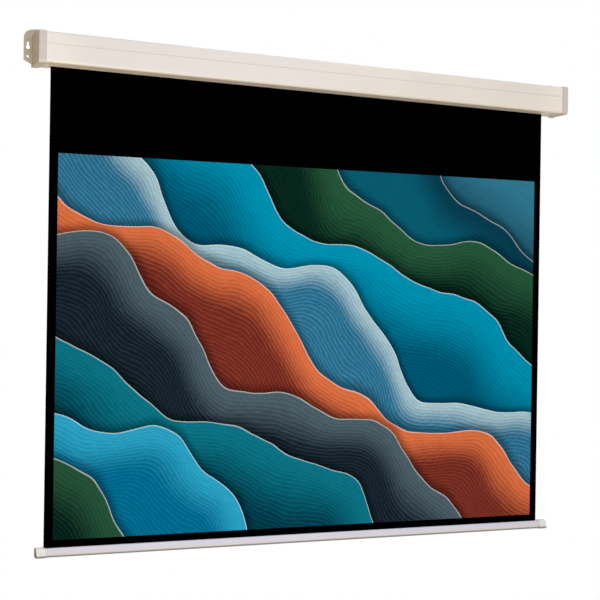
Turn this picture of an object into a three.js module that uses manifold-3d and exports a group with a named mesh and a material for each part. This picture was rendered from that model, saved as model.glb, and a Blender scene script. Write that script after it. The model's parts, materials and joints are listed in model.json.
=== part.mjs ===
// A pull-down projection screen: a spring roller in a wall-mounted case, and a weighted bar along
// the lower edge of the sheet. It is shown fully lowered.
// Millimetres. X runs along the roller, -Y faces the viewers and +Z is up. The wall is the plane
// Y = 0, and the origin is the middle of the case's back face.

import * as THREE from "three";
import { mergeVertices, toCreasedNormals } from "three/addons/utils/BufferGeometryUtils.js";
import Module from "manifold-3d";

const wasm = await Module();
wasm.setup();

// Sheet
const viewingWidth = 1500;
const viewingHeight = 1029;
const sideBorder = 22.3;
const topDrop = 216;
const bottomBorder = 17.7;
const sheetThickness = 0.5;
const sheetToWall = 28;
const turnGap = 0.5;
const turnsLeft = 1.25;

// Case: an aluminium profile, open along a slot in its underside. The rooms are what it leaves
// round the roller: ahead, above and below for the whole sheet to wind on, and at either end.
const windingRoomAhead = 5.55;
const windingRoomAbove = 16.35;
const windingRoomBelow = 18.35;
const idlerRoom = 18;
const springRoom = 38;
const caseWall = 1.6;
const topFrontRadius = 5;
const chamferHeight = 8;
const chamferDepth = 3;
const chamferUpperRadius = 6;
const chamferLowerRadius = 2;
const rearRadius = 3;
const slotAhead = 3.5;
const slotBehind = 8.5;
const lipHeight = 6;
const lipRadius = 2;
const grooveDrop = 31;
const grooveWidth = 3.2;
const grooveDepth = 1.1;
const channelRadius = 3.6;
const channelBore = 1.7;
const channelSlit = 1.6;
const channelSink = 1;
const rearChannelToWall = 8.4;

// End caps
const capWidth = 20.4;
const capProud = 1.3;
const capWall = 3;
const capFace = 2.5;
const capEdge = 1.6;
const capRearRadius = 2;
const capTopRadius = 3;
const tongueReach = 12;
const tongueThickness = 1.4;
const postRadius = 4.4;
const ribThickness = 1.6;
const ribHeight = 5;
const ribPlaceShares = [0.22, 0.42, 0.82];

// Wall brackets: one bent plate each, with an ear outside the end cap and a cheek inside it
const plateThickness = 2.5;
const bendRadius = 4;
const earReach = 22.4;
const earAbove = 17.5;
const earShoulder = 23;
const earShoulderIn = 38;
const earBottomRise = 17;
const earInnerRise = 6.5;
const footBelow = 2.2;
const footOutset = 2;
const keyholeInset = 10.8;
const keyholeDrop = 31;
const keyholeHeadRadius = 5.6;
const keyholeSlotRadius = 3.2;
const keyholeRise = 11;
const lowerHoleDrop = 24.5;
const lowerHoleRadius = 3.3;
const cheekSetback = 9;
const cheekMargin = 11;
const cheekCorner = 10;
const cheekScrewToWall = 20;
const cheekScrewRise = 18;

// Screws
const screwShank = 1.4;
const screwHead = 3.6;
const screwHeadHeight = 2;
const screwSink = 0.2;
const screwBite = 13;
const crossWidth = 0.9;
const crossReach = 2;
const crossDepth = 1.2;
const bracketScrewShank = 1.7;
const bracketScrewHead = 3.8;
const bracketScrewHeadHeight = 2;
const bracketScrewBite = 10;

// Roller
const tubeRadius = 20;
const tubeWall = 1.2;
const tubeMargin = 4.5;
const plugFlange = 3;
const plugFlangeInset = 0.2;
const plugDepth = 22;
const plugWall = 3;
const plugHub = 10;

// Idler end
const bushRadius = 6.5;
const bushFlangeRadius = 9;
const bushFlange = 2.5;
const idlerPinRadius = 4;
const idlerShoulderRadius = 7;
const clipThickness = 1.2;
const clipRadius = 7.5;
const clipOpening = 5;
const shaftEndReach = 5;

// Spring end: a fixed arbor with its ratchet, and pawls that turn with the roller. The ratchet's
// size is a share of the tube's radius, so that the pawls always fit between the two.
const arborRadius = 4.5;
const arborFlat = 3.2;
const ratchetShare = 0.5;
const ratchetThickness = 5.6;
const ratchetNotches = 2;
const notchDepth = 2.6;
const pawlPivotRoom = 1.1;
const pawlRestGap = 0.4;
const pawlLength = 9.6;
const pawlBossRadius = 3.4;
const pawlNoseRadius = 1.2;
const pawlThickness = 5;
const pawlPinRadius = 1.5;
const pawlPinHead = 2.6;
const pawlPinHeadHeight = 1.2;
const spacerRadius = 6.5;
const springRadius = 13;
const springWire = 1.6;
const springPitch = 5;
const springTurns = 30;
const collarRoom = 3.3;
const collarWidth = 10;
const bearingWidth = 8;
const bearingGap = 2;
const arborTail = 3;

// Bottom bar: its front face leans out towards the lower edge
const barOverhang = 26.95;
const barShift = 4.75;
const barBehind = 9.5;
const barAheadTop = 7;
const barAheadBottom = 18.5;
const barWall = 1.4;
const barTopRadius = 2.5;
const barHeelRadius = 5;
const barToeRadius = 4.5;
const barSlot = 3;
const barLip = 2.4;
const splineRadius = 2.2;
const splineInset = 2;
const webThickness = 1.3;
const rodRadius = 5;
const rodRoom = 2.8;
const barCapWidth = 25;
const barCapProud = 1.4;
const barCapEdge = 2.2;
const barPlugReach = 12;
const barCapSlotReach = 8;

// Fits and cuts
const fitGap = 0.3;
const overrun = 2;

// Facets
const tubeSteps = 40;
const shaftSteps = 24;
const smallSteps = 16;
const cornerSteps = 5;
const springStepsPerTurn = 8;
const springSides = 5;

// Places that several pieces share. The roller lies where the sheet hangs from its rear side,
// nearer the idler's end by the room that the lock takes at the other end.
const sheetWidth = viewingWidth + 2 * sideBorder;
const sheetMiddle = (idlerRoom - springRoom) / 2;
const sheetLeft = sheetMiddle - sheetWidth / 2;
const sheetRight = sheetMiddle + sheetWidth / 2;
const tubeLeft = sheetLeft - tubeMargin;
const tubeRight = sheetRight + tubeMargin;
const turnPitch = sheetThickness + turnGap;
const firstTurnRadius = tubeRadius + fitGap + sheetThickness / 2;
const lastTurnRadius = firstTurnRadius + turnsLeft * turnPitch;
const windingRadius = lastTurnRadius + sheetThickness / 2;
const rollerY = -(sheetToWall + lastTurnRadius);
const rollerZ = (windingRoomBelow - windingRoomAbove) / 2;
const caseTop = rollerZ + windingRadius + windingRoomAbove + caseWall;
const caseBottom = -caseTop;
const caseFront = rollerY - windingRadius - windingRoomAhead - caseWall;
const slotFront = -(sheetToWall + slotAhead);
const slotRear = -(sheetToWall - slotBehind);
const capMouth = tubeRight + springRoom;
const caseEnd = capMouth - fitGap;
const capOuter = capMouth + capWidth;
const capInner = capOuter - capFace;
const capTop = caseTop + capProud;
const capFront = caseFront - capProud;
const capRear = -(plateThickness + fitGap);
const cheekInner = capMouth;
const cheekOuter = cheekInner + plateThickness;
const tubeBore = tubeRadius - tubeWall;
const plugRadius = tubeBore - fitGap;
const barTop = caseBottom - topDrop - viewingHeight - bottomBorder;
const splineZ = barTop - barLip - fitGap - splineRadius;
const webTop = splineZ - splineRadius - fitGap;
const rodZ = webTop - webThickness - rodRoom - rodRadius;
const barBottom = rodZ - rodRadius - fitGap - barWall;
const barMiddle = sheetMiddle + barShift;
const barLength = sheetWidth + 2 * barOverhang;
const barRear = -(sheetToWall - barBehind);
const barLean = (barAheadBottom - barAheadTop) / (barTop - barBottom);
const screenTravel = caseBottom - barTop - barCapProud - fitGap;

// Outlines in a plane, as lists of points

function point(a, b) {
  return new THREE.Vector2(a, b);
}

function arc(a, b, radius, from, to, steps) {
  const points = [];
  for (let i = 0; i <= steps; i += 1) {
    const angle = from + ((to - from) * i) / steps;
    points.push(point(a + radius * Math.cos(angle), b + radius * Math.sin(angle)));
  }
  return points;
}

function circle(a, b, radius, steps) {
  return arc(a, b, radius, 0, 2 * Math.PI, steps).slice(0, -1);
}

function rectangle(a0, b0, a1, b1) {
  return [point(a0, b0), point(a1, b0), point(a1, b1), point(a0, b1)];
}

// A closed outline from [a, b, radius] corners, each rounded by its own radius.
function rounded(corners) {
  const count = corners.length;
  return corners.flatMap(([a, b, radius = 0], i) => {
    const corner = point(a, b);
    if (radius === 0) return [corner];
    const [beforeA, beforeB] = corners[(i + count - 1) % count];
    const [afterA, afterB] = corners[(i + 1) % count];
    const arriving = corner.clone().sub(point(beforeA, beforeB)).normalize();
    const leaving = point(afterA, afterB).sub(corner).normalize();
    const turn = Math.atan2(arriving.cross(leaving), arriving.dot(leaving));
    const side = Math.sign(turn);
    const start = corner.clone().addScaledVector(arriving, -radius * Math.tan(Math.abs(turn) / 2));
    const centre = start.clone().add(point(-arriving.y, arriving.x).multiplyScalar(side * radius));
    const from = Math.atan2(start.y - centre.y, start.x - centre.x);
    return arc(centre.x, centre.y, radius, from, from + turn, cornerSteps);
  });
}

// The closed section of a bent sheet. Its face follows the [a, b, radius] corners, and its
// thickness lies to the right of that line. A corner with no radius is a sharp fold.
function bentSheet(corners, wall) {
  const face = [];
  const back = [];
  const rightOf = (direction) => point(direction.y, -direction.x);
  corners.forEach(([a, b, radius = 0], i) => {
    const corner = point(a, b);
    const before = corners[i - 1];
    const after = corners[i + 1];
    const arriving = before && corner.clone().sub(point(before[0], before[1])).normalize();
    const leaving = after && point(after[0], after[1]).sub(corner).normalize();
    if (!arriving || !leaving) {
      face.push(corner);
      back.push(corner.clone().addScaledVector(rightOf(arriving || leaving), wall));
      return;
    }
    if (radius === 0) {
      const across = rightOf(arriving).add(rightOf(leaving));
      const reach = wall / (1 + arriving.dot(leaving));
      face.push(corner);
      back.push(corner.clone().addScaledVector(across, reach));
      return;
    }
    const turn = Math.atan2(arriving.cross(leaving), arriving.dot(leaving));
    const side = Math.sign(turn);
    const start = corner.clone().addScaledVector(arriving, -radius * Math.tan(Math.abs(turn) / 2));
    const centre = start.clone().addScaledVector(rightOf(arriving), -side * radius);
    const from = Math.atan2(start.y - centre.y, start.x - centre.x);
    face.push(...arc(centre.x, centre.y, radius, from, from + turn, cornerSteps));
    back.push(...arc(centre.x, centre.y, radius + side * wall, from, from + turn, cornerSteps));
  });
  return [...face, ...back.reverse()];
}

// A ring with a slot cut through it, which opens towards the given angle.
function openRing(a, b, outer, inner, slot, towards, steps) {
  const outerHalf = Math.asin(slot / 2 / outer);
  const innerHalf = Math.asin(slot / 2 / inner);
  const end = towards + 2 * Math.PI;
  return [
    ...arc(a, b, outer, towards + outerHalf, end - outerHalf, steps),
    ...arc(a, b, inner, end - innerHalf, towards + innerHalf, steps),
  ];
}

// Two circles and the straight lines that touch both.
function taperedLink(a0, b0, radius0, a1, b1, radius1, steps) {
  const along = Math.atan2(b1 - b0, a1 - a0);
  const spread = Math.acos((radius0 - radius1) / Math.hypot(a1 - a0, b1 - b0));
  return [
    ...arc(a0, b0, radius0, along + spread, along + 2 * Math.PI - spread, steps),
    ...arc(a1, b1, radius1, along - spread, along + spread, steps),
  ];
}

// A circle with two flats, at the same distance above and below its centre.
function flattedCircle(a, b, radius, flat, steps) {
  const half = Math.asin(flat / radius);
  return [
    ...arc(a, b, radius, -half, half, steps),
    ...arc(a, b, radius, Math.PI - half, Math.PI + half, steps),
  ];
}

// Solids

// A closed geometry as a solid that can be joined and cut, with its faces turned outwards.
function solidOf(geometry) {
  const bare = new THREE.BufferGeometry();
  bare.setAttribute("position", geometry.getAttribute("position"));
  if (geometry.index) bare.setIndex(geometry.index);
  const merged = mergeVertices(bare);
  const kept = [];
  const index = merged.index.array;
  for (let i = 0; i < index.length; i += 3) {
    const [p, q, r] = index.slice(i, i + 3);
    if (p !== q && q !== r && r !== p) kept.push(p, q, r);
  }
  const build = (triangles) =>
    new wasm.Manifold(
      new wasm.Mesh({
        numProp: 3,
        vertProperties: merged.attributes.position.array,
        triVerts: new Uint32Array(triangles),
      }),
    );
  const made = build(kept);
  return made.volume() < 0 ? build(kept.reverse()) : made;
}

const xAxis = new THREE.Vector3(1, 0, 0);
const yAxis = new THREE.Vector3(0, 1, 0);
const zAxis = new THREE.Vector3(0, 0, 1);
const ontoX = new THREE.Matrix4().makeBasis(yAxis, zAxis, xAxis);
const ontoY = new THREE.Matrix4().makeBasis(xAxis, zAxis, yAxis.clone().negate());

function prism(outline, depth, holes, edge) {
  const shape = new THREE.Shape(outline);
  shape.holes = holes.map((hole) => new THREE.Path(hole));
  const bevel = { bevelThickness: edge, bevelSize: edge, bevelOffset: -edge, bevelSegments: 3 };
  const options = edge ? { depth: depth - 2 * edge, ...bevel } : { depth, bevelEnabled: false };
  const geometry = new THREE.ExtrudeGeometry(shape, options);
  return edge ? geometry.translate(0, 0, edge) : geometry;
}

// A (y, z) outline drawn out along X between two places, given in either order.
function alongX(outline, from, to, { holes = [], edge = 0 } = {}) {
  const geometry = prism(outline, Math.abs(to - from), holes, edge);
  return solidOf(geometry.applyMatrix4(ontoX).translate(Math.min(from, to), 0, 0));
}

// An (x, z) outline drawn out along Y.
function alongY(outline, from, to) {
  const geometry = prism(outline, Math.abs(to - from), [], 0);
  return solidOf(geometry.applyMatrix4(ontoY).translate(0, Math.max(from, to), 0));
}

// An (x, y) outline drawn out along Z.
function alongZ(outline, from, to) {
  const geometry = prism(outline, Math.abs(to - from), [], 0);
  return solidOf(geometry.translate(0, 0, Math.min(from, to)));
}

function block(x0, x1, y0, y1, z0, z1) {
  return alongX(rectangle(y0, z0, y1, z1), x0, x1);
}

function rod(x0, x1, y, z, radius, steps = shaftSteps) {
  return alongX(circle(y, z, radius, steps), x0, x1);
}

// A turned piece: an [x, radius] profile spun about the line along X through (y, z). The
// profile starts and ends on that line, or closes on itself.
function turned(profile, y, z, steps = shaftSteps) {
  const points = profile.map(([x, radius]) => point(radius, x));
  const geometry = new THREE.LatheGeometry(points, steps);
  return solidOf(geometry.rotateZ(-Math.PI / 2).translate(0, y, z));
}

function joined(solids) {
  return solids.reduce((sum, next) => sum.add(next));
}

// Materials

function finish(colour, roughness, metalness) {
  return () => new THREE.MeshStandardMaterial({ color: colour, roughness, metalness });
}

const caseWhite = finish(0xe4dcd6, 0.45, 0);
const capGrey = finish(0xcfc5bf, 0.5, 0);
const bracketPaint = finish(0xb9ad9c, 0.5, 0.2);
const sheetBlack = finish(0x0a0a0b, 0.85, 0);
const barSilver = finish(0xdcd8e0, 0.4, 0.3);
const barCapCream = finish(0xdcd4be, 0.5, 0);
const steel = finish(0x9a9c9f, 0.35, 1);
const zincSteel = finish(0xb4b2aa, 0.4, 0.9);
const springSteel = finish(0x6a6c70, 0.35, 1);
const blackNylon = finish(0x26262a, 0.55, 0);
const whiteNylon = finish(0xe8e6df, 0.5, 0);

const crease = Math.PI / 6;

function piece(name, solid, material) {
  const mesh = solid.getMesh();
  const geometry = new THREE.BufferGeometry();
  geometry.setAttribute("position", new THREE.BufferAttribute(mesh.vertProperties, mesh.numProp));
  geometry.setIndex(new THREE.BufferAttribute(mesh.triVerts, 1));
  const made = new THREE.Mesh(toCreasedNormals(geometry, crease), material());
  made.name = name;
  return made;
}

// The [y, z, radius] corners of the lower front chamfer, lower one first, on an outline that
// lies outside the case's face by the given growth.
function chamferCorners(growth) {
  const length = Math.hypot(chamferDepth, chamferHeight);
  const lowerY = caseFront + chamferDepth - (growth * chamferHeight) / (length + chamferDepth);
  const upperZ = caseBottom + chamferHeight - (growth * chamferDepth) / (length + chamferHeight);
  return [
    [lowerY, caseBottom - growth, Math.max(chamferLowerRadius + growth, 0)],
    [caseFront - growth, upperZ, Math.max(chamferUpperRadius + growth, 0)],
  ];
}

// Screw channels: each lies against the walls of its corner, and the front ones open to the middle

const channelDepth = caseWall + channelRadius - channelSink;
const roundingReach = (topFrontRadius - channelDepth) / Math.SQRT2;
const topFrontChannel = {
  y: caseFront + topFrontRadius - roundingReach,
  z: caseTop - topFrontRadius + roundingReach,
  towards: -Math.PI / 4,
};
const [bottomChannelY, bottomChannelZ] = chamferCorners(-channelDepth)[0];
const bottomFrontChannel = { y: bottomChannelY, z: bottomChannelZ, towards: Math.PI / 4 };
const topRearChannel = {
  y: -rearChannelToWall,
  z: caseTop - channelDepth,
  towards: -Math.PI / 2,
};
const channels = [topFrontChannel, topRearChannel, bottomFrontChannel];

function housingCase() {
  const grooveZ = caseTop - grooveDrop;
  const face = [
    [slotFront, caseBottom + lipHeight],
    [slotFront, caseBottom, lipRadius],
    ...chamferCorners(0),
    [caseFront, grooveZ - grooveWidth / 2],
    [caseFront + grooveDepth, grooveZ],
    [caseFront, grooveZ + grooveWidth / 2],
    [caseFront, caseTop, topFrontRadius],
    [0, caseTop, rearRadius],
    [0, caseBottom, rearRadius],
    [slotRear, caseBottom, lipRadius],
    [slotRear, caseBottom + lipHeight],
  ];
  const shell = alongX(bentSheet(face, caseWall), -caseEnd, caseEnd);
  const rails = channels.map(({ y, z, towards }) => {
    const ring = openRing(y, z, channelRadius, channelBore, channelSlit, towards, smallSteps);
    return alongX(ring, -caseEnd, caseEnd);
  });
  return joined([shell, ...rails]);
}

// The end cap's skirt, its ribs, and the tongues that slide into the case.
function endCap(side) {
  const outline = rounded([
    [capRear, -capTop, capRearRadius],
    [capRear, capTop, capRearRadius],
    [capFront, capTop, capTopRadius],
    ...chamferCorners(capProud).reverse(),
  ]);
  const innerTop = capTop - capWall;
  const cavity = rounded([
    [overrun, -innerTop],
    [overrun, innerTop],
    [capFront + capWall, innerTop],
    ...chamferCorners(capProud - capWall).reverse(),
  ]);
  const blankInner = capMouth - overrun - capEdge;
  const blank = alongX(outline, side * blankInner, side * capOuter, { edge: capEdge });
  const beyondMouth = block(
    0,
    side * capMouth,
    capFront - overrun,
    overrun,
    -capTop - overrun,
    capTop + overrun,
  );
  const hollow = alongX(cavity, side * capMouth, side * capInner);
  const shell = blank.subtract(beyondMouth).subtract(hollow);

  const sideGap = channelRadius + 2 * fitGap;
  const tongueOuter = caseWall + fitGap;
  const tongueInner = tongueOuter + tongueThickness;
  const root = side * (capInner + capFace / 2);
  const tip = side * (caseEnd - tongueReach);
  const topTongue = block(
    root,
    tip,
    topFrontChannel.y + sideGap,
    topRearChannel.y - sideGap,
    caseTop - tongueInner,
    caseTop - tongueOuter,
  );
  const frontTongue = block(
    root,
    tip,
    caseFront + tongueOuter,
    caseFront + tongueInner,
    caseBottom + chamferHeight + sideGap,
    caseTop - grooveDrop - grooveWidth,
  );
  const bottomTongue = block(
    root,
    tip,
    bottomFrontChannel.y + sideGap,
    slotFront - caseWall - 2 * fitGap,
    caseBottom + tongueOuter,
    caseBottom + tongueInner,
  );

  const ribTip = side * (capInner - ribHeight);
  const ribs = ribPlaceShares.map((share) => {
    const y = capFront + share * (capRear - capFront);
    return block(root, ribTip, y, y + ribThickness, -innerTop - fitGap, innerTop + fitGap);
  });
  const post = (tip, { y, z }) => rod(root, side * tip, y, z, postRadius, smallSteps);
  const screwPosts = channels.map((place) => post(capMouth, place));
  const bracketPosts = cheekScrewPlaces().map((place) => post(cheekOuter + fitGap, place));
  const tongues = [topTongue, frontTongue, bottomTongue];
  const body = joined([shell, ...tongues, ...ribs, ...screwPosts, ...bracketPosts]);

  const screwHoles = channels.map(({ y, z }) => {
    const bore = screwShank + fitGap;
    const head = screwHead + fitGap;
    const deep = capOuter - screwSink - screwHeadHeight;
    const profile = [
      [side * (capMouth - overrun), 0],
      [side * (capMouth - overrun), bore],
      [side * deep, bore],
      [side * (capOuter - screwSink), head],
      [side * (capOuter + overrun), head],
      [side * (capOuter + overrun), 0],
    ];
    return turned(profile, y, z, smallSteps);
  });
  const bracketHoles = cheekScrewPlaces().map(({ y, z }) => {
    const deep = cheekOuter + bracketScrewBite + fitGap;
    return rod(side * cheekOuter, side * deep, y, z, bracketScrewShank + fitGap, smallSteps);
  });
  return [...screwHoles, ...bracketHoles].reduce((sum, hole) => sum.subtract(hole), body);
}

function capScrew(side, { y, z }) {
  const face = capOuter - screwSink;
  const tip = caseEnd - screwBite;
  const profile = [
    [side * face, 0],
    [side * face, screwHead],
    [side * (face - screwHeadHeight), screwShank],
    [side * (tip + screwShank), screwShank],
    [side * tip, screwShank / 2],
    [side * tip, 0],
  ];
  const recess = crossRecess(side * (face - crossDepth), side * (face + overrun), y, z);
  return turned(profile, y, z, smallSteps).subtract(recess);
}

// The cross in a screw's head.
function crossRecess(x0, x1, y, z) {
  const half = crossWidth / 2;
  const upright = block(x0, x1, y - half, y + half, z - crossReach, z + crossReach);
  const level = block(x0, x1, y - crossReach, y + crossReach, z - half, z + half);
  return upright.add(level);
}

function cheekScrewPlaces() {
  return [1, -1].map((up) => ({ y: -cheekScrewToWall, z: up * cheekScrewRise }));
}

// Wall bracket: the bent plate, kept only inside the ear's outline and the cheek's outline.
function endBracket(side, shaftHole) {
  const earOuter = capOuter + earReach;
  const top = caseTop + earAbove;
  const bottom = caseBottom - footBelow;
  const inner = cheekInner + bendRadius;
  const bend = bentSheet(
    [
      [-earOuter, 0],
      [-cheekInner, 0, bendRadius],
      [-cheekInner, caseFront + cheekSetback],
    ],
    plateThickness,
  );
  const sheetMetal = alongZ(
    bend.map((p) => point(-side * p.x, p.y)),
    bottom,
    top,
  );
  const shoulder = new THREE.QuadraticBezierCurve(
    point(side * earOuter, top - earShoulder),
    point(side * earOuter, top),
    point(side * (earOuter - earShoulderIn), top),
  ).getPoints(cornerSteps);
  const wallOutline = [
    ...shoulder,
    point(side * inner, top),
    point(side * inner, bottom),
    point(side * (capOuter + footOutset), bottom),
    point(side * (capOuter + footOutset), caseBottom + earInnerRise),
    point(side * earOuter, caseBottom + earBottomRise),
  ];
  const cheekHalf = caseTop - cheekMargin;
  const cheekOutline = rounded([
    [overrun, -cheekHalf],
    [overrun, cheekHalf],
    [caseFront + cheekSetback, cheekHalf, cheekCorner],
    [caseFront + cheekSetback, -cheekHalf, cheekCorner],
  ]);
  const kept = alongY(wallOutline, -plateThickness, overrun).add(
    alongX(cheekOutline, side * (cheekInner - overrun), side * (inner + fitGap)),
  );

  const holeX = side * (earOuter - keyholeInset);
  const headZ = caseTop - keyholeDrop;
  const through = (outline) => alongY(outline, -plateThickness - overrun, overrun);
  const keyhole = through(circle(holeX, headZ, keyholeHeadRadius, smallSteps)).add(
    through([
      ...arc(holeX, headZ + keyholeRise, keyholeSlotRadius, 0, Math.PI, smallSteps / 2),
      point(holeX - keyholeSlotRadius, headZ),
      point(holeX + keyholeSlotRadius, headZ),
    ]),
  );
  const lowerHole = through(circle(holeX, headZ - lowerHoleDrop, lowerHoleRadius, smallSteps));
  const acrossCheek = [side * (cheekInner - overrun), side * (cheekOuter + overrun)];
  const screwHoles = cheekScrewPlaces().map(({ y, z }) =>
    rod(...acrossCheek, y, z, bracketScrewShank + fitGap, smallSteps),
  );
  const cuts = [keyhole, lowerHole, alongX(shaftHole, ...acrossCheek), ...screwHoles];
  return cuts.reduce((sum, hole) => sum.subtract(hole), sheetMetal.intersect(kept));
}

function bracketScrew(side, { y, z }) {
  const seat = cheekInner - fitGap;
  const head = seat - bracketScrewHeadHeight;
  const tip = cheekOuter + bracketScrewBite;
  const profile = [
    [side * head, 0],
    [side * head, bracketScrewHead - bracketScrewHeadHeight / 2],
    [side * (head + bracketScrewHeadHeight / 2), bracketScrewHead],
    [side * seat, bracketScrewHead],
    [side * seat, bracketScrewShank],
    [side * (tip - bracketScrewShank), bracketScrewShank],
    [side * tip, 0],
  ];
  const recess = crossRecess(side * (head - overrun), side * (head + crossDepth), y, z);
  return turned(profile, y, z, smallSteps).subtract(recess);
}

// Roller

function rollerTube() {
  const outline = circle(rollerY, rollerZ, tubeRadius, tubeSteps);
  const bore = circle(rollerY, rollerZ, tubeBore, tubeSteps);
  return alongX(outline, tubeLeft, tubeRight, { holes: [bore] });
}

// The turns of sheet still on the roller: a spiral that ends where the hanging sheet begins.
function sheetTurns() {
  const steps = Math.round(turnsLeft * tubeSteps);
  const side = (offset) =>
    Array.from({ length: steps + 1 }, (_, i) => {
      const angle = (2 * Math.PI * turnsLeft * i) / steps;
      const radius = lastTurnRadius - (turnPitch * angle) / (2 * Math.PI) + offset;
      return point(rollerY + radius * Math.cos(angle), rollerZ + radius * Math.sin(angle));
    });
  const outline = [...side(sheetThickness / 2), ...side(-sheetThickness / 2).reverse()];
  return alongX(outline, sheetLeft, sheetRight);
}

// A cup that closes one end of the tube: flange, sleeve, web and a hub round the shaft.
function tubePlug(end, inwards, bore, hubReach) {
  const seat = end - inwards * fitGap;
  const flangeFace = seat - inwards * plugFlange;
  const sleeveEnd = seat + inwards * plugDepth;
  const hubEnd = seat + inwards * hubReach;
  const web = seat + inwards * plugWall;
  const sleeveBore = plugRadius - plugWall;
  const profile = [
    [flangeFace, bore],
    [flangeFace, tubeRadius - plugFlangeInset],
    [seat, tubeRadius - plugFlangeInset],
    [seat, plugRadius],
    [sleeveEnd, plugRadius],
    [sleeveEnd, sleeveBore],
    [web, sleeveBore],
    [web, plugHub],
    [hubEnd, plugHub],
    [hubEnd, bore],
    [flangeFace, bore],
  ];
  return turned(profile, rollerY, rollerZ, tubeSteps);
}

const plugSeatLeft = tubeLeft - fitGap;
const flangeFaceLeft = plugSeatLeft - plugFlange;
const plugSeatRight = tubeRight + fitGap;
const flangeFaceRight = plugSeatRight + plugFlange;

function idlerBush() {
  const bore = idlerPinRadius + fitGap;
  const flangeInner = flangeFaceLeft - fitGap;
  const flangeOuter = flangeInner - bushFlange;
  const end = plugSeatLeft + plugDepth;
  const profile = [
    [flangeOuter, bore],
    [flangeOuter, bushFlangeRadius],
    [flangeInner, bushFlangeRadius],
    [flangeInner, bushRadius],
    [end, bushRadius],
    [end, bore],
    [flangeOuter, bore],
  ];
  return turned(profile, rollerY, rollerZ);
}

function idlerPin() {
  const shoulderInner = flangeFaceLeft - bushFlange - 2 * fitGap;
  const shoulderOuter = -cheekInner + fitGap;
  const outer = -(cheekOuter + shaftEndReach);
  const inner = plugSeatLeft + plugDepth;
  const tip = idlerPinRadius / 4;
  const profile = [
    [outer, 0],
    [outer, idlerPinRadius - tip],
    [outer + tip, idlerPinRadius],
    [shoulderOuter, idlerPinRadius],
    [shoulderOuter, idlerShoulderRadius],
    [shoulderInner, idlerShoulderRadius],
    [shoulderInner, idlerPinRadius],
    [inner - tip, idlerPinRadius],
    [inner, idlerPinRadius - tip],
    [inner, 0],
  ];
  return turned(profile, rollerY, rollerZ);
}

function shaftClip(side, shaftRadius) {
  const inner = shaftRadius + fitGap;
  const ring = openRing(rollerY, rollerZ, clipRadius, inner, clipOpening, -Math.PI / 2, smallSteps);
  const near = cheekOuter + fitGap;
  return alongX(ring, side * near, side * (near + clipThickness));
}

// Spring end, from the roller's head outwards: pawls and ratchet, spacer, cheek, clip

const ratchetInner = flangeFaceRight + fitGap;
const ratchetOuter = ratchetInner + ratchetThickness;
const ratchetHigh = tubeRadius * ratchetShare;
const ratchetLow = ratchetHigh - notchDepth;
const pawlInner = flangeFaceRight + fitGap;
const pawlOuter = pawlInner + pawlThickness;
const pawlPivotReach = ratchetHigh + pawlPivotRoom + pawlBossRadius;
const pawlRestReach = ratchetHigh + pawlRestGap + pawlNoseRadius;
const pawlLockReach = ratchetLow + fitGap + pawlNoseRadius;
const springSeat = plugSeatRight - plugDepth;
const springSpan = springTurns * springPitch;
const springStart = springSeat - fitGap - springWire - springSpan;
const collarRadius = tubeBore - collarRoom;
const collarRight = springStart - springWire - fitGap;
const collarLeft = collarRight - collarWidth;
const bearingRight = collarLeft - bearingGap;
const bearingLeft = bearingRight - bearingWidth;
const arborInner = bearingLeft - arborTail;
const arborOuter = cheekOuter + shaftEndReach;

function arborSection(growth) {
  return flattedCircle(rollerY, rollerZ, arborRadius + growth, arborFlat + growth, smallSteps / 2);
}

function springArbor() {
  const round = rod(arborInner, ratchetInner, rollerY, rollerZ, arborRadius);
  return round.add(alongX(arborSection(0), ratchetInner, arborOuter));
}

function sleeve(x0, x1, outer, inner) {
  const outline = circle(rollerY, rollerZ, outer, shaftSteps);
  return alongX(outline, x0, x1, { holes: [circle(rollerY, rollerZ, inner, shaftSteps)] });
}

class SpringLine extends THREE.Curve {
  getPoint(t) {
    const angle = 2 * Math.PI * springTurns * t;
    const y = rollerY + springRadius * Math.cos(angle);
    const z = rollerZ + springRadius * Math.sin(angle);
    return new THREE.Vector3(springStart + springSpan * t, y, z);
  }
}

function torsionSpring() {
  const extrudePath = new SpringLine();
  const steps = springTurns * springStepsPerTurn;
  extrudePath.arcLengthDivisions = steps * springSides;
  const gap = leastTurnGap(extrudePath.getPoints(steps), springStepsPerTurn / 2);
  console.log(`torsion_spring: least gap to itself ${gap.toFixed(2)} mm`);
  const section = new THREE.Shape(circle(0, 0, springWire, springSides));
  return solidOf(new THREE.ExtrudeGeometry(section, { steps, extrudePath, bevelEnabled: false }));
}

// The least gap between points of the spring's wire that are at least half a turn apart.
function leastTurnGap(points, apart) {
  const gaps = points.slice(0, -apart).map((from, i) => {
    const later = points.slice(i + apart);
    return Math.min(...later.map((to) => from.distanceTo(to)));
  });
  return Math.min(...gaps) - 2 * springWire;
}

// How far the pawl's arm leans from the line between its pivot and the arbor, when its nose is
// at the given distance from the arbor's axis.
function pawlLean(noseReach) {
  const across = pawlPivotReach ** 2 + pawlLength ** 2 - noseReach ** 2;
  return Math.acos(across / (2 * pawlPivotReach * pawlLength));
}

function pawlNose(noseReach) {
  const lean = pawlLean(noseReach);
  return point(-pawlLength * Math.sin(lean), pawlPivotReach - pawlLength * Math.cos(lean));
}

const pawlSwing = pawlLean(pawlRestReach) - pawlLean(pawlLockReach);

function lockPawl(side) {
  const nose = pawlNose(pawlRestReach);
  const pivotZ = rollerZ + side * pawlPivotReach;
  const noseY = rollerY + side * nose.x;
  const noseZ = rollerZ + side * nose.y;
  const boss = [rollerY, pivotZ, pawlBossRadius];
  const outline = taperedLink(...boss, noseY, noseZ, pawlNoseRadius, smallSteps / 2);
  const bore = circle(rollerY, pivotZ, pawlPinRadius + fitGap, smallSteps);
  return alongX(outline, pawlInner, pawlOuter, { holes: [bore] });
}

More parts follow.
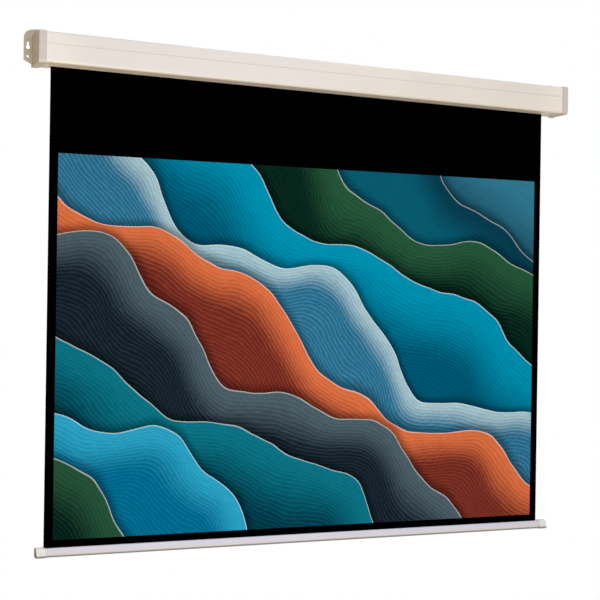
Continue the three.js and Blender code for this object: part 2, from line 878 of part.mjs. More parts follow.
function pawlPin(side) {
  const foot = plugSeatRight - plugWall;
  const headInner = pawlOuter + fitGap;
  const headOuter = headInner + pawlPinHeadHeight;
  const profile = [
    [foot, 0],
    [foot, pawlPinRadius],
    [headInner, pawlPinRadius],
    [headInner, pawlPinHead],
    [headOuter, pawlPinHead],
    [headOuter, 0],
  ];
  return turned(profile, rollerY, rollerZ + side * pawlPivotReach, smallSteps);
}

function rollerHead() {
  const plug = tubePlug(tubeRight, -1, arborRadius + fitGap, plugDepth);
  const seatDisc = sleeve(springSeat, springSeat + plugWall, plugRadius, arborRadius + fitGap);
  const acrossWeb = [plugSeatRight - plugWall - overrun, flangeFaceRight + overrun];
  const pinHoles = [1, -1].map((side) => {
    const z = rollerZ + side * pawlPivotReach;
    return rod(...acrossWeb, rollerY, z, pawlPinRadius + fitGap, smallSteps);
  });
  const acrossSeat = [springSeat - overrun, springSeat + plugWall + overrun];
  const lightening = [0, Math.PI].map((angle) => {
    const y = rollerY + pawlPivotReach * Math.cos(angle);
    return rod(...acrossSeat, y, rollerZ, pawlPinHead, smallSteps);
  });
  return [...pinHoles, ...lightening].reduce((sum, hole) => sum.subtract(hole), plug.add(seatDisc));
}

// The ratchet's rim falls from full height to a notch, once for each notch. The face of each
// notch stands just ahead of a locked pawl's nose.
function lockRatchet() {
  const nose = pawlNose(pawlLockReach);
  const noseAngle = Math.atan2(nose.y, nose.x);
  const ahead = Math.asin((pawlNoseRadius + fitGap) / pawlLockReach);
  const sweep = (2 * Math.PI) / ratchetNotches;
  const outline = [];
  for (let notch = 0; notch < ratchetNotches; notch += 1) {
    const start = noseAngle + ahead + notch * sweep;
    for (let i = 0; i <= smallSteps; i += 1) {
      const share = i / smallSteps;
      const radius = ratchetHigh + (ratchetLow - ratchetHigh) * share;
      const angle = start + sweep * share;
      outline.push(point(rollerY + radius * Math.cos(angle), rollerZ + radius * Math.sin(angle)));
    }
  }
  return alongX(outline, ratchetInner, ratchetOuter, { holes: [arborSection(fitGap)] });
}

// Hanging sheet and bottom bar

const barCapInner = barLength / 2 - barCapWidth;
const barEnd = barCapInner - fitGap;

function screenSheet() {
  const front = -sheetToWall - sheetThickness / 2;
  const bottom = splineZ + splineRadius + fitGap;
  const top = rollerZ - fitGap;
  return block(sheetLeft, sheetRight, front, front + sheetThickness, bottom, top);
}

// The bar's front face at a height, moved outwards by the given growth.
function barFront(z, growth = 0) {
  const ahead = barAheadTop + barLean * (barTop - z) + growth * Math.hypot(1, barLean);
  return -(sheetToWall + ahead);
}

function barProfile() {
  const lipRear = -sheetToWall + barSlot / 2;
  const lipFront = -sheetToWall - barSlot / 2;
  const face = [
    [lipRear, barTop - barLip],
    [lipRear, barTop],
    [barRear, barTop, barTopRadius],
    [barRear, barBottom, barHeelRadius],
    [barFront(barBottom), barBottom, barToeRadius],
    [barFront(barTop), barTop, barTopRadius],
    [lipFront, barTop],
    [lipFront, barTop - barLip],
  ];
  const ends = [barMiddle - barEnd, barMiddle + barEnd];
  const shell = alongX(bentSheet(face, barWall), ...ends);
  const sink = barWall / 2;
  const webFront = barFront(webTop) + sink;
  const web = block(...ends, webFront, barRear - sink, webTop - webThickness, webTop);
  return shell.add(web);
}

function barCap(side) {
  const outer = barMiddle + (side * barLength) / 2;
  const inner = barMiddle + side * barCapInner;
  const top = barTop + barCapProud;
  const bottom = barBottom - barCapProud;
  const outline = rounded([
    [barRear + barCapProud, bottom, barHeelRadius + barCapProud],
    [barRear + barCapProud, top, barTopRadius + barCapProud],
    [barFront(top, barCapProud), top, barTopRadius + barCapProud],
    [barFront(bottom, barCapProud), bottom, barToeRadius + barCapProud],
  ]);
  const blank = alongX(outline, inner - side * (overrun + barCapEdge), outer, { edge: barCapEdge });
  const cutAway = block(
    barMiddle,
    inner,
    barFront(bottom, barCapProud) - overrun,
    barRear + barCapProud + overrun,
    bottom - overrun,
    top + overrun,
  );
  const reach = barWall + fitGap;
  const plugTop = webTop - webThickness - fitGap;
  const plugBottom = barBottom + reach;
  const plug = rounded([
    [barRear - reach, plugBottom, barHeelRadius - reach],
    [barRear - reach, plugTop],
    [barFront(plugTop, -reach), plugTop],
    [barFront(plugBottom, -reach), plugBottom, barToeRadius - reach],
  ]);
  const slotEnds = [inner - side * overrun, inner + side * barCapSlotReach];
  const aroundSheet = (half) => [-sheetToWall - half, -sheetToWall + half];
  const slot = block(...slotEnds, ...aroundSheet(barSlot / 2), splineZ, top + overrun);
  const pocketSides = aroundSheet(splineRadius + fitGap);
  const pocket = block(...slotEnds, ...pocketSides, webTop, barTop - barLip);
  const body = blank.subtract(cutAway).subtract(slot).subtract(pocket);
  return body.add(alongX(plug, inner + (side * barCapEdge) / 2, inner - side * barPlugReach));
}

function weightRod() {
  const half = barCapInner - barPlugReach - fitGap;
  return rod(barMiddle - half, barMiddle + half, -sheetToWall, rodZ, rodRadius);
}

function sheetSpline() {
  const ends = [sheetLeft + splineInset, sheetRight - splineInset];
  return rod(...ends, -sheetToWall, splineZ, splineRadius, smallSteps);
}

// The whole screen

const housing = new THREE.Group();
const idlerHole = circle(rollerY, rollerZ, idlerPinRadius + fitGap, shaftSteps);
const roundArbor = arborRadius + fitGap;
const spacer = sleeve(ratchetOuter + fitGap, cheekInner - fitGap, spacerRadius, roundArbor);
housing.add(
  piece("housing_case", housingCase(), caseWhite),
  piece("end_bracket_left", endBracket(-1, idlerHole), bracketPaint),
  piece("end_bracket_right", endBracket(1, arborSection(fitGap)), bracketPaint),
  piece("idler_pin", idlerPin(), steel),
  piece("idler_clip", shaftClip(-1, idlerPinRadius), springSteel),
  piece("spring_arbor", springArbor(), steel),
  piece("arbor_clip", shaftClip(1, arborRadius), springSteel),
  piece("arbor_spacer", spacer, zincSteel),
  piece("spring_collar", sleeve(collarLeft, collarRight, collarRadius, roundArbor), zincSteel),
  piece("torsion_spring", torsionSpring(), springSteel),
  piece("lock_ratchet", lockRatchet(), steel),
  piece("screen_sheet", screenSheet(), sheetBlack),
);
for (const [end, side] of [["left", -1], ["right", 1]]) {
  housing.add(piece(`end_cap_${end}`, endCap(side), capGrey));
  ["top_front", "top_rear", "bottom_front"].forEach((place, i) => {
    housing.add(piece(`cap_screw_${end}_${place}`, capScrew(side, channels[i]), zincSteel));
  });
  ["upper", "lower"].forEach((place, i) => {
    const screw = bracketScrew(side, cheekScrewPlaces()[i]);
    housing.add(piece(`bracket_screw_${end}_${place}`, screw, zincSteel));
  });
}

const roller = new THREE.Group();
roller.add(
  piece("roller_tube", rollerTube(), zincSteel),
  piece("roller_head", rollerHead(), blackNylon),
  piece("idler_plug", tubePlug(tubeLeft, 1, bushRadius + fitGap, plugDepth), blackNylon),
  piece("idler_bush", idlerBush(), whiteNylon),
  piece("arbor_bearing", sleeve(bearingLeft, bearingRight, plugRadius, roundArbor), blackNylon),
  piece("sheet_turns", sheetTurns(), sheetBlack),
);
for (const [name, side] of [["upper", 1], ["lower", -1]]) {
  roller.add(piece(`pawl_pin_${name}`, pawlPin(side), steel));
  roller.add(piece(`lock_pawl_${name}`, lockPawl(side), steel));
}

const bottomBar = new THREE.Group();
bottomBar.add(
  piece("bar_profile", barProfile(), barSilver),
  piece("bar_cap_left", barCap(-1), barCapCream),
  piece("bar_cap_right", barCap(1), barCapCream),
  piece("weight_rod", weightRod(), steel),
  piece("sheet_spline", sheetSpline(), whiteNylon),
);

const screen = new THREE.Group();
screen.name = "projection_screen";
screen.add(housing, roller, bottomBar);

// How far the bar rises (mm), and how far a pawl swings into the ratchet (radians).
screen.userData = { screenTravel, pawlSwing };

export default screen;
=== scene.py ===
# A pull-down projection screen, fully lowered: its finishes, its hanging sheet, light and camera.
# Metres. X runs along the case, -Y faces the viewers and +Z is up. The wall is the plane Y = 0.

import json
import math

import bpy
from mathutils import Matrix, Vector

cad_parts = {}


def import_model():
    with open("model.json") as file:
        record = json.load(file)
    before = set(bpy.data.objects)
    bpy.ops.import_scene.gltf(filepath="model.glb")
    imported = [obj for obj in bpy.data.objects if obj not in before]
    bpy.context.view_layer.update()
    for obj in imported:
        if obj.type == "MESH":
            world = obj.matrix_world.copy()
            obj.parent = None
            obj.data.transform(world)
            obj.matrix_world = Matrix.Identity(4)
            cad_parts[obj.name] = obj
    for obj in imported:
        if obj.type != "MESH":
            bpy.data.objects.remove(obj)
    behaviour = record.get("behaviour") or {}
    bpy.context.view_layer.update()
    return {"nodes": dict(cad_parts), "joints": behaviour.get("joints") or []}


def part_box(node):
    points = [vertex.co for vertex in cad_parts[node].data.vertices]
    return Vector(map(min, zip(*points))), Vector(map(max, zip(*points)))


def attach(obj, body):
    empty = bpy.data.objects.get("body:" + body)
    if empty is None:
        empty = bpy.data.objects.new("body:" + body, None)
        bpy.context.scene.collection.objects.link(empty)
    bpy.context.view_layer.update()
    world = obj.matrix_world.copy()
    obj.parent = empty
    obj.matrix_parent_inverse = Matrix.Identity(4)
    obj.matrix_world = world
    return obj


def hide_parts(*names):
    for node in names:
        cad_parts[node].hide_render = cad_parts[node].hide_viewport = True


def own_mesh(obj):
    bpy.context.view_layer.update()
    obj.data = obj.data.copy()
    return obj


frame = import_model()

# Camera: angles are in radians, lens and sensor in millimetres, shifts in widths of the frame
CAMERA_PLACE = Vector((-1.5979, -3.4170, -0.7169))
CAMERA_HEADING = 0.4282
CAMERA_RISE = 0.0006
CAMERA_TILT = 0.015
CAMERA_LENS = 78.32
CAMERA_SENSOR = 36
CAMERA_SHIFT_RIGHT = -0.00073
CAMERA_SHIFT_UP = 0.04573

# Light: the ambient colours with their spans of heading, then each lamp
AMBIENT_ABOVE = (0.64, 0.66, 0.72)
AMBIENT_BELOW = (0.6, 0.45, 0.22)
AMBIENT_RISE_SPAN = (-0.5, 0.5)
AMBIENT_LEFT = (0.05, 0.03, 0.01)
AMBIENT_LEFT_SPAN = (-0.8, 0)
KEY_PLACE = Vector((-1.5, -4.4, -0.5))
KEY_SIZE = (1.2, 1.2)
KEY_POWER = 59
KEY_COLOUR = (0.87, 0.94, 0.98)
LOW_PLACE = Vector((-0.15, -2.2, -1.25))
LOW_SIZE = (1.4, 0.5)
LOW_POWER = 18
LOW_COLOUR = (1, 0.95, 0.87)
SIDE_PLACE = Vector((-1.6, -0.06, -0.85))
SIDE_SIZE = (0.2, 0.5)
SIDE_POWER = 4.1
SIDE_COLOUR = (1, 0.69, 0.22)
TOP_PLACE = Vector((0, 0.12, 1))
TOP_SIZE = (1.8, 0.2)
TOP_POWER = 7
TOP_COLOUR = (1, 1, 1)

# Floor: a pale disc below the bar that fades into the white background before its rim
FLOOR_DROP = 0.9
FLOOR_RADIUS = 1.6
FLOOR_FADE_START = 0.75
FLOOR_GLOW = 0.36
FLOOR_COLOUR = (246, 245, 243)
FLOOR_ROUGHNESS = 0.9
FLOOR_STEPS = 96
FLOOR_RINGS = 8

# Viewing area: its upper and lower edges are measured down from the case's underside
VIEWING_WIDTH = 1.5
VIEWING_INSET = 0.002
VIEWING_TOP = 0.2244
VIEWING_TOP_RISE = 0.0147
VIEWING_FOOT = 1.243

# Hanging sheet: a ripple has its count over the width, its phase and its share of the depth
SHEET_UV = "sheet"
SHEET_COLUMNS = 72
SHEET_ROWS = 60
RIPPLE_DEPTH = 0.0011
RIPPLES = ((2.1, 0.6, 1.0), (3.7, 2.1, 0.5))
RIPPLE_FADE = 0.12

# Sheet on the roller
TURNS_ON_ROLLER = 1.25
TURN_PITCH = 0.001
TURN_STEPS = 120
TURN_COLUMNS = 12

# Painted light and shade on the case: painted shade in its groove and on its chamfer, painted cool
# light on its left half and painted light on the ends of its front
GROOVE_DROP = 0.031
GROOVE_REACH = 0.0019
GROOVE_SHADE = 0.19
FRONT_REACH = 0.004
CHAMFER_REACH = 0.0055
CHAMFER_SHADES = (0.66, 0.26)
CHAMFER_SHADE_TINT = (136, 120, 40)
PAINTED_COOL_LIGHT = (232, 228, 229)
PAINTED_COOL_LIGHT_SPAN = (-0.15, 0.15)
PAINTED_END_LIGHT = (242, 238, 233)
PAINTED_END_LIGHT_SPAN = (0.66, 0.8)

# Painted shade on the undersides: of the end caps, and of the case beside the sheet
UNDER_REACH = 0.0008
UNDER_SHADE = 0.3
UNDER_MARGIN = 0.005

# Painted light and shade on the bar: painted warm light on its lower part, painted shade on its
# lower edge and on the ends of its caps
BAR_WARM_LIGHT = (213, 208, 208)
BAR_WARM_LIGHT_SPAN = (0.007, 0.016)
TOE_SPAN = (0.0044, 0.0068)
TOE_SHADE = 0.64
END_REACH = 0.0012
END_SHADE = 0.72

# Edges of the hard pieces
EDGE_ROUNDING = 0.00035
EDGE_SEGMENTS = 2
SHARP_EDGE = math.radians(35)
SAME_PLACE = 1e-6
AREA_WEIGHT = 100

# Black, white, and the span of noise over which a finish drifts
BLACK = (0, 0, 0, 1)
WHITE = (1, 1, 1, 1)
NOISE_SPAN = (0.3, 0.7)

# Places and sizes from the frame
case_low, case_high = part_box("housing_case")
sheet_low, sheet_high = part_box("screen_sheet")
caps_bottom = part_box("end_cap_left")[0].z
bar_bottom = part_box("bar_profile")[0].z
bar_ends = (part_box("bar_cap_left")[0].x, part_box("bar_cap_right")[1].x)
sheet_width = sheet_high.x - sheet_low.x
sheet_length = sheet_high.z - sheet_low.z
sheet_thickness = sheet_high.y - sheet_low.y
sheet_plane = (sheet_low.y + sheet_high.y) / 2
joints = {joint["name"]: joint for joint in frame["joints"]}
roller_axis = Vector(joints["roller_spin"]["pos_m"])


# Objects, colours and nodes

def added(name, data):
    """A new object in the scene."""
    made = bpy.data.objects.new(name, data)
    bpy.context.scene.collection.objects.link(made)
    return made


def colour(red, green, blue):
    """A screen colour, 0 to 255 a channel, as the linear colour that a shader takes."""
    def linear(value):
        share = value / 255
        return share / 12.92 if share <= 0.04045 else ((share + 0.055) / 1.055) ** 2.4
    return (linear(red), linear(green), linear(blue), 1)


class Finish:
    """A material with a Principled shader, and short ways to add nodes to it."""

    def __init__(self, name, base, roughness, **sockets):
        self.material = bpy.data.materials.new(name)
        self.material.use_nodes = True
        self.tree = self.material.node_tree
        self.tree.nodes.clear()
        self.shader = self.add("ShaderNodeBsdfPrincipled")
        output = self.add("ShaderNodeOutputMaterial")
        self.tree.links.new(self.shader.outputs["BSDF"], output.inputs["Surface"])
        values = {"Base Color": base, "Roughness": roughness, **sockets}
        for socket, value in values.items():
            self.set(self.shader.inputs[socket], value)

    def show(self, colours):
        self.set(self.shader.inputs["Base Color"], colours)

    def add(self, kind, **settings):
        node = self.tree.nodes.new(kind)
        for name, value in settings.items():
            setattr(node, name, value)
        return node

    def set(self, socket, value):
        if isinstance(value, bpy.types.NodeSocket):
            self.tree.links.new(value, socket)
        else:
            socket.default_value = value

    def math(self, operation, *values, clamp=False):
        node = self.add("ShaderNodeMath", operation=operation, use_clamp=clamp)
        for socket, value in zip(node.inputs, values):
            self.set(socket, value)
        return node.outputs[0]

    def sum(self, first, *others):
        total = first
        for other in others:
            total = self.math("ADD", total, other)
        return total

    def product(self, first, *others):
        total = first
        for other in others:
            total = self.math("MULTIPLY", total, other)
        return total

    def mix(self, share, first, second, blend="MIX"):
        node = self.add("ShaderNodeMix", data_type="RGBA", blend_type=blend)
        self.set(node.inputs["Factor"], share)
        self.set(node.inputs["A"], first)
        self.set(node.inputs["B"], second)
        return node.outputs["Result"]

    def range(self, value, start, end, low, high, smooth=False):
        node = self.add("ShaderNodeMapRange")
        node.interpolation_type = "SMOOTHSTEP" if smooth else "LINEAR"
        for socket, given in zip(node.inputs, (value, start, end, low, high)):
            self.set(socket, given)
        return node.outputs["Result"]

    def place(self):
        """The point on the piece, in metres."""
        return self.add("ShaderNodeTexCoord").outputs["Object"]

    def parts(self, vector):
        node = self.add("ShaderNodeSeparateXYZ")
        self.set(node.inputs["Vector"], vector)
        return node.outputs

    def stretched(self, vector, scale):
        node = self.add("ShaderNodeMapping")
        self.set(node.inputs["Vector"], vector)
        node.inputs["Scale"].default_value = scale
        return node.outputs["Vector"]

    def noise(self, vector, size, detail=2, roughness=0.5):
        """Smooth noise from 0 to 1, whose spots are about size metres across."""
        node = self.add("ShaderNodeTexNoise")
        self.set(node.inputs["Vector"], vector)
        node.inputs["Scale"].default_value = 1 / size
        node.inputs["Detail"].default_value = detail
        node.inputs["Roughness"].default_value = roughness
        return node.outputs["Fac"]

    def shade(self, base, vector, size, light, dark):
        """The base colour, varied between the light and dark shares of itself."""
        spots = self.range(self.noise(vector, size, detail=3), *NOISE_SPAN, dark, light)
        grey = self.add("ShaderNodeCombineColor")
        for socket in grey.inputs:
            self.set(socket, spots)
        return self.mix(1, base, grey.outputs["Color"], blend="MULTIPLY")

    def rough(self, noise, middle, less, more):
        """Varies the roughness with the noise."""
        varied = self.range(noise, *NOISE_SPAN, middle - less, middle + more)
        self.set(self.shader.inputs["Roughness"], varied)

    def bump(self, height, distance, strength=1):
        node = self.add("ShaderNodeBump")
        node.inputs["Strength"].default_value = strength
        node.inputs["Distance"].default_value = distance
        self.set(node.inputs["Height"], height)
        self.set(self.shader.inputs["Normal"], node.outputs["Normal"])


# Finishes of the hard pieces

def case_shade(finish, place, shown):
    """The colour, with painted cool light to the left and painted shade on the underside past the
    sheet's edges. The front has painted light at its ends, painted shade in its groove and a warm
    painted shade on its chamfer."""
    parts = finish.parts(place)
    # Painted cool light on the left half
    cool_light = finish.range(parts["X"], *PAINTED_COOL_LIGHT_SPAN, 1, 0, smooth=True)
    shown = finish.mix(cool_light, shown, colour(*PAINTED_COOL_LIGHT))
    front = finish.math("LESS_THAN", parts["Y"], case_low.y + FRONT_REACH)
    # Painted light on the ends of the front
    pale = finish.range(finish.math("ABSOLUTE", parts["X"]), *PAINTED_END_LIGHT_SPAN, 0, 1, smooth=True)
    shown = finish.mix(finish.product(pale, front), shown, colour(*PAINTED_END_LIGHT))
    # Painted shade on the underside past the sheet's edges
    past_left = finish.math("LESS_THAN", parts["X"], sheet_low.x - UNDER_MARGIN)
    past_right = finish.math("GREATER_THAN", parts["X"], sheet_high.x + UNDER_MARGIN)
    past = finish.product(finish.sum(past_left, past_right), finish.math("SUBTRACT", 1, front))
    shaded_under = finish.math("LESS_THAN", parts["Z"], case_low.z + UNDER_REACH)
    shown = finish.mix(finish.product(past, shaded_under, UNDER_SHADE), shown, BLACK)
    # Painted shade in the groove of the front
    off = finish.math("ABSOLUTE", finish.math("SUBTRACT", parts["Z"], case_high.z - GROOVE_DROP))
    deep = finish.range(off, 0, GROOVE_REACH, GROOVE_SHADE, 0)
    shown = finish.mix(finish.product(deep, front), shown, BLACK)
    # Warm painted shade on the chamfer, deeper to the left
    chamfer_top = case_low.z + CHAMFER_REACH
    low = finish.range(parts["Z"], case_low.z, chamfer_top, 1, 0, smooth=True)
    depth = finish.range(parts["X"], case_low.x, case_high.x, *CHAMFER_SHADES)
    return finish.mix(finish.product(low, front, depth), shown, colour(*CHAMFER_SHADE_TINT))


def under_shade(finish, place, shown):
    """The colour, with painted shade on the undersides of the end caps."""
    height = finish.parts(place)["Z"]
    shaded_under = finish.math("LESS_THAN", height, caps_bottom + UNDER_REACH)
    return finish.mix(finish.product(shaded_under, UNDER_SHADE), shown, BLACK)


def toe_shade(finish, place, shown):
    """The colour, with painted shade along the bar's lower edge."""
    start, end = (bar_bottom + height for height in TOE_SPAN)
    toe = finish.range(finish.parts(place)["Z"], start, end, TOE_SHADE, 0, smooth=True)
    return finish.mix(toe, shown, BLACK)


def cap_shade(finish, place, shown):
    """The colour, with painted shade along the lower edge and on the outer ends of the bar's caps.
    """
    along = finish.parts(place)["X"]
    left, right = bar_ends
    outer_left = finish.range(along, left, left + END_REACH, END_SHADE, 0)
    outer_right = finish.range(along, right - END_REACH, right, 0, END_SHADE)
    ends = finish.sum(outer_left, outer_right)
    return finish.mix(ends, toe_shade(finish, place, shown), BLACK)


def bar_shade(finish, place, shown):
    """The colour, with painted warm light towards the bar's lower edge and painted shade along it.
    """
    start, end = (bar_bottom + height for height in BAR_WARM_LIGHT_SPAN)
    warm_light = finish.range(finish.parts(place)["Z"], start, end, 1, 0, smooth=True)
    return toe_shade(finish, place, finish.mix(warm_light, shown, colour(*BAR_WARM_LIGHT)))


# Scales of a grain or a flow mark along X, Y and Z
DRAWN = (0.02, 1, 1)
EVEN = (1, 1, 1)
FLOW_SCALE = (1, 1, 6)


def painted(name, base, grain, depth, roughness, over=None):
    """Powder coat: a fine orange peel over a colour that drifts a little."""
    finish = Finish(name, base, roughness)
    place = finish.place()
    shown = finish.shade(base, place, size=0.16, light=1.02, dark=0.97)
    finish.show(over(finish, place, shown) if over else shown)
    finish.rough(finish.noise(place, size=0.03), roughness, less=0.04, more=0.06)
    finish.bump(finish.noise(place, grain, detail=3), depth)
    return finish.material


def moulded(name, base, grain, depth, roughness, over=None):
    """Moulded plastic: a spark-eroded grain, with faint flow marks."""
    finish = Finish(name, base, roughness)
    place = finish.place()
    flow = finish.stretched(place, FLOW_SCALE)
    shown = finish.shade(base, flow, size=0.05, light=1.02, dark=0.97)
    finish.show(over(finish, place, shown) if over else shown)
    finish.rough(finish.noise(place, size=0.012), roughness, less=0.05, more=0.07)
    finish.bump(finish.noise(place, grain, detail=4, roughness=0.65), depth)
    return finish.material


def metal(name, base, grain, depth, roughness, scale):
    """Bare or plated metal with faint cloudy stains, and a grain that the scale may draw out."""
    finish = Finish(name, base, roughness, Metallic=1)
    place = finish.place()
    lines = finish.noise(finish.stretched(place, scale), grain)
    finish.show(finish.shade(base, place, size=0.02, light=1.03, dark=0.88))
    finish.rough(lines, roughness, less=0.08, more=0.1)
    finish.bump(lines, depth)
    return finish.material


# By material slot: the kind of finish, its colour, the size and depth of its grain and its
# roughness. Then comes the painted light and shade laid over the colour, or the scale of a metal's
# grain.
HARD_FINISHES = {
    "case_paint": (painted, (232, 227, 223), 0.0016, 0.00003, 0.42, case_shade),
    "cap_plastic": (moulded, (211, 203, 201), 0.0007, 0.00003, 0.5, under_shade),
    "bracket_paint": (painted, (194, 184, 163), 0.0012, 0.00004, 0.42),
    "bar_paint": (painted, (212, 210, 226), 0.0014, 0.00002, 0.34, bar_shade),
    "bar_cap_plastic": (moulded, (226, 225, 223), 0.0007, 0.00003, 0.48, cap_shade),
    "zinc_steel": (metal, (190, 188, 180), 0.0006, 0.00001, 0.38, DRAWN),
    "steel": (metal, (160, 161, 164), 0.0006, 0.00001, 0.3, DRAWN),
    "spring_steel": (metal, (110, 112, 116), 0.0006, 0.00001, 0.34, EVEN),
    "black_nylon": (moulded, (36, 36, 39), 0.0008, 0.00004, 0.5),
    "white_nylon": (moulded, (232, 230, 222), 0.0008, 0.00003, 0.45),
}
hard_finishes = {
    slot: finished(slot, colour(*shown), *values)
    for slot, (finished, shown, *values) in HARD_FINISHES.items()
}


# Finish of the sheet

# The print: bands that run down to the right, from the back one to the front one. Each has its
# level, its two swells as (depth, length, phase), its rim and deep colours, and its fade.
PRINT_SLOPE = math.radians(-31)
PRINT_BACK = ((52, 128, 160), (6, 62, 86))
PRINT_BACK_SPAN = (1.62, 1.36)
PRINT_BANDS = (
    (1.50, (0.060, 1.10, 0.4), (0.020, 0.37, 1.9), (8, 62, 84), (10, 96, 122), 0.16),
    (1.33, (0.075, 0.95, 2.2), (0.018, 0.31, 0.3), (40, 92, 64), (6, 36, 30), 0.18),
    (1.16, (0.055, 1.25, 3.9), (0.024, 0.43, 2.7), (0, 152, 192), (0, 84, 116), 0.24),
    (0.97, (0.070, 0.85, 5.3), (0.016, 0.29, 1.1), (170, 204, 220), (34, 112, 152), 0.10),
    (0.83, (0.060, 1.05, 1.2), (0.022, 0.39, 4.4), (224, 116, 72), (112, 42, 36), 0.13),
    (0.68, (0.065, 0.92, 3.1), (0.019, 0.33, 0.8), (78, 98, 110), (18, 32, 42), 0.14),
    (0.50, (0.055, 1.15, 4.8), (0.023, 0.41, 3.3), (12, 118, 140), (2, 54, 72), 0.22),
    (0.33, (0.070, 0.88, 0.2), (0.017, 0.27, 5.0), (44, 166, 206), (0, 104, 146), 0.16),
    (0.15, (0.050, 1.00, 2.6), (0.020, 0.35, 1.5), (38, 84, 60), (6, 30, 28), 0.16),
)
PRINT_DRIFT = 0.3
PRINT_DRIFT_REACH = 0.05
PRINT_GRAIN = 0.012
PRINT_GRAIN_SCALE = (0.25, 1, 1)
PRINT_GRAIN_SPAN = (0.25, 0.75)
PRINT_GRAIN_SHADE = 0.16
PRINT_RIM = 0.004
PRINT_RIM_COLOUR = (244, 248, 250)
PRINT_RIM_SHARE = 0.6
PRINT_SHADOW = 0.035
PRINT_SHADOW_DEPTH = 0.55
PRINT_STRAND = 0.011
PRINT_STRAND_DEPTH = 0.13

# The vinyl round the print, and the backing
SHEET_BLACK = (3, 2, 3)
SHEET_ROUGHNESS = 0.62
BACK_BLACK = (22, 22, 24)
BACK_ROUGHNESS = 0.7
BACK_GLOSS = 0.15
THREAD = 0.0011
THREAD_SCALE = 0.08


def wave(finish, along, depth, length, phase):
    """A sine wave along the bands of the print."""
    angle = finish.sum(finish.product(along, 2 * math.pi / length), phase)
    return finish.product(finish.math("SINE", angle), depth)


def printed(finish, right, up):
    """The colours of the print at a point right of and above the area's lower left corner."""
    slope = (math.cos(PRINT_SLOPE), math.sin(PRINT_SLOPE))
    along = finish.sum(finish.product(right, slope[0]), finish.product(up, slope[1]))
    across = finish.sum(finish.product(right, -slope[1]), finish.product(up, slope[0]))
    spot = finish.add("ShaderNodeCombineXYZ")
    finish.set(spot.inputs["X"], along)
    finish.set(spot.inputs["Y"], across)
    drift = finish.noise(spot.outputs["Vector"], PRINT_DRIFT)
    shift = finish.range(drift, 0, 1, -PRINT_DRIFT_REACH, PRINT_DRIFT_REACH)
    long_spots = finish.stretched(spot.outputs["Vector"], PRINT_GRAIN_SCALE)
    grain = finish.noise(long_spots, PRINT_GRAIN, detail=4, roughness=0.6)
    rim, deep = (colour(*shade) for shade in PRINT_BACK)
    shown = finish.mix(finish.range(across, *PRINT_BACK_SPAN, 0, 1, smooth=True), rim, deep)
    for level, swell, chop, rim, deep, fade in PRINT_BANDS:
        crest = finish.sum(wave(finish, along, *swell), wave(finish, along, *chop), level, shift)
        below = finish.math("SUBTRACT", crest, across)
        shadow = finish.range(below, -PRINT_SHADOW, 0, 0, PRINT_SHADOW_DEPTH, smooth=True)
        shown = finish.mix(shadow, shown, BLACK)
        turns = finish.sum(finish.product(below, 1 / PRINT_STRAND), grain)
        strand = finish.math("SINE", finish.product(turns, 2 * math.pi))
        faded = finish.range(below, 0, fade, 0, 1, smooth=True)
        depth = finish.sum(faded, finish.product(strand, PRINT_STRAND_DEPTH))
        band = finish.mix(finish.math("ADD", depth, 0, clamp=True), colour(*rim), colour(*deep))
        lit = finish.range(below, 0, PRINT_RIM, PRINT_RIM_SHARE, 0)
        band = finish.mix(lit, band, colour(*PRINT_RIM_COLOUR))
        shown = finish.mix(finish.math("GREATER_THAN", below, 0), shown, band)
    dark = finish.range(grain, *PRINT_GRAIN_SPAN, PRINT_GRAIN_SHADE, 0)
    return finish.mix(dark, shown, BLACK)


def sheet_front():
    """Matte vinyl: black all round, with the print on its viewing area. The print starts a little
    inside the area's left edge, and its upper edge rises to the right."""
    finish = Finish("sheet_front", colour(*SHEET_BLACK), SHEET_ROUGHNESS)
    finish.shader.inputs["Specular IOR Level"].default_value = 0
    spot = finish.add("ShaderNodeUVMap", uv_map=SHEET_UV).outputs["UV"]
    parts = finish.parts(spot)
    side = (sheet_width - VIEWING_WIDTH) / 2
    right = finish.math("SUBTRACT", parts["X"], side)
    foot = sheet_high.z - case_low.z + VIEWING_FOOT
    up = finish.math("SUBTRACT", foot, parts["Y"])
    height = VIEWING_FOOT - VIEWING_TOP
    top_edge = finish.range(right, 0, VIEWING_WIDTH, height, height + VIEWING_TOP_RISE)
    shown = finish.product(
        finish.math("GREATER_THAN", right, VIEWING_INSET),
        finish.math("LESS_THAN", right, VIEWING_WIDTH),
        finish.math("GREATER_THAN", up, 0),
        finish.math("LESS_THAN", up, top_edge),
    )
    black = finish.mix(finish.noise(spot, size=0.02, detail=3), BLACK, colour(*SHEET_BLACK))
    finish.show(finish.mix(shown, black, printed(finish, right, up)))
    pebble = finish.noise(spot, size=0.0012, detail=3, roughness=0.6)
    finish.bump(pebble, distance=0.00003, strength=0.6)
    return finish.material


def sheet_back():
    """The black backing, with a fine cross grain."""
    finish = Finish("sheet_back", colour(*BACK_BLACK), BACK_ROUGHNESS)
    finish.shader.inputs["Specular IOR Level"].default_value = BACK_GLOSS
    spot = finish.add("ShaderNodeUVMap", uv_map=SHEET_UV).outputs["UV"]
    finish.show(finish.shade(colour(*BACK_BLACK), spot, size=0.05, light=1.15, dark=0.8))
    across = finish.noise(finish.stretched(spot, (1, THREAD_SCALE, 1)), THREAD)
    down = finish.noise(finish.stretched(spot, (THREAD_SCALE, 1, 1)), THREAD)
    finish.bump(finish.sum(across, down), distance=0.00005, strength=0.8)
    return finish.material


# The sheet: thin closed shells over grids of places, whose UVs are in metres

